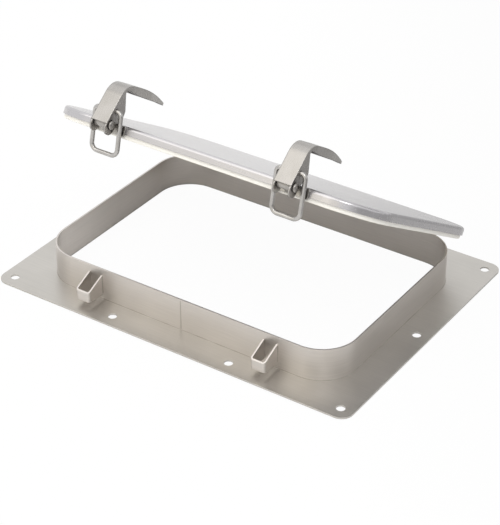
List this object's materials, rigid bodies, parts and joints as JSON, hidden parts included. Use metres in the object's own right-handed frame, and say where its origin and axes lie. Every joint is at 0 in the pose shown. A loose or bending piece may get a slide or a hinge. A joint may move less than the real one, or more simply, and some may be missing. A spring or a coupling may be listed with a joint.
{
  "type": "inspection hatch",
  "caption": "Rectangular sheet-steel duct access door: bolted flange with a raised collar and a gasketed lid, hinged behind and held by lever latches with wire loops.",
  "frame": {"origin": "centre of the flange's bottom face, which is also the bottom centre of the bounding box", "axes": "+X along the hatch's length, -Y towards the latches, +Z away from the duct"},
  "size_m": [0.3, 0.222, 0.1552],
  "materials": {
    "frame_stainless": "satin",
    "lid_stainless": "satin",
    "fitting_stainless": "satin",
    "white_rubber": "matt, slightly glossy"
  },
  "bodies": {
    "frame": {"flange_plate": "frame_stainless", "collar_ring": "frame_stainless", "strike_bracket_left": "frame_stainless", "strike_bracket_right": "frame_stainless", "hinge_bracket_left": "fitting_stainless", "hinge_bracket_right": "fitting_stainless"},
    "hinge_pins": {"hinge_pin_left": "fitting_stainless", "hinge_pin_right": "fitting_stainless"},
    "lid": {"lid_pan": "lid_stainless", "lid_seal": "white_rubber", "hinge_arm_left": "fitting_stainless", "hinge_arm_right": "fitting_stainless", "latch_base_left": "fitting_stainless", "latch_base_right": "fitting_stainless", "lever_rivet_left": "fitting_stainless", "lever_rivet_right": "fitting_stainless"},
    "lever_left": {"latch_lever_left": "fitting_stainless"},
    "barrel_left": {"loop_barrel_left": "fitting_stainless"},
    "loop_left": {"wire_loop_left": "fitting_stainless"},
    "lever_right": {"latch_lever_right": "fitting_stainless"},
    "barrel_right": {"loop_barrel_right": "fitting_stainless"},
    "loop_right": {"wire_loop_right": "fitting_stainless"}
  },
  "joints": [
    {"name": "lid_shut", "type": "hinge", "parent": "frame", "child": "hinge_pins", "pos_m": [0, 0.1021, 0.0212], "axis": [-1, 0, 0], "range_deg": [-31.7, 0]},
    {"name": "lid_open", "type": "hinge", "parent": "hinge_pins", "child": "lid", "pos_m": [0, 0.1021, 0.0212], "axis": [-1, 0, 0], "range_deg": [0, 78]},
    {"name": "lever_left_swing", "type": "hinge", "parent": "lid", "child": "lever_left", "pos_m": [-0.075, -0.07036, 0.13571], "axis": [1, 0, 0], "range_deg": [0, 95]},
    {"name": "barrel_left_turn", "type": "hinge", "parent": "lever_left", "child": "barrel_left", "pos_m": [-0.075, -0.06351, 0.14299], "axis": [1, 0, 0], "range_deg": [-123.6, 0]},
    {"name": "loop_left_swing", "type": "hinge", "parent": "barrel_left", "child": "loop_left", "pos_m": [-0.075, -0.06351, 0.14299], "axis": [1, 0, 0], "range_deg": [-27, 0]},
    {"name": "lever_right_swing", "type": "hinge", "parent": "lid", "child": "lever_right", "pos_m": [0.075, -0.07036, 0.13571], "axis": [1, 0, 0], "range_deg": [0, 95]},
    {"name": "barrel_right_turn", "type": "hinge", "parent": "lever_right", "child": "barrel_right", "pos_m": [0.075, -0.06351, 0.14299], "axis": [1, 0, 0], "range_deg": [-123.6, 0]},
    {"name": "loop_right_swing", "type": "hinge", "parent": "barrel_right", "child": "loop_right", "pos_m": [0.075, -0.06351, 0.14299], "axis": [1, 0, 0], "range_deg": [-27, 0]}
  ],
  "couplings": [
    {"joint": "barrel_left_turn", "follows": "lever_left_swing", "ratio": -1.3},
    {"joint": "loop_left_swing", "follows": "lid_shut", "ratio": 0.85},
    {"joint": "barrel_right_turn", "follows": "lever_right_swing", "ratio": -1.3},
    {"joint": "loop_right_swing", "follows": "lid_shut", "ratio": 0.85}
  ]
}
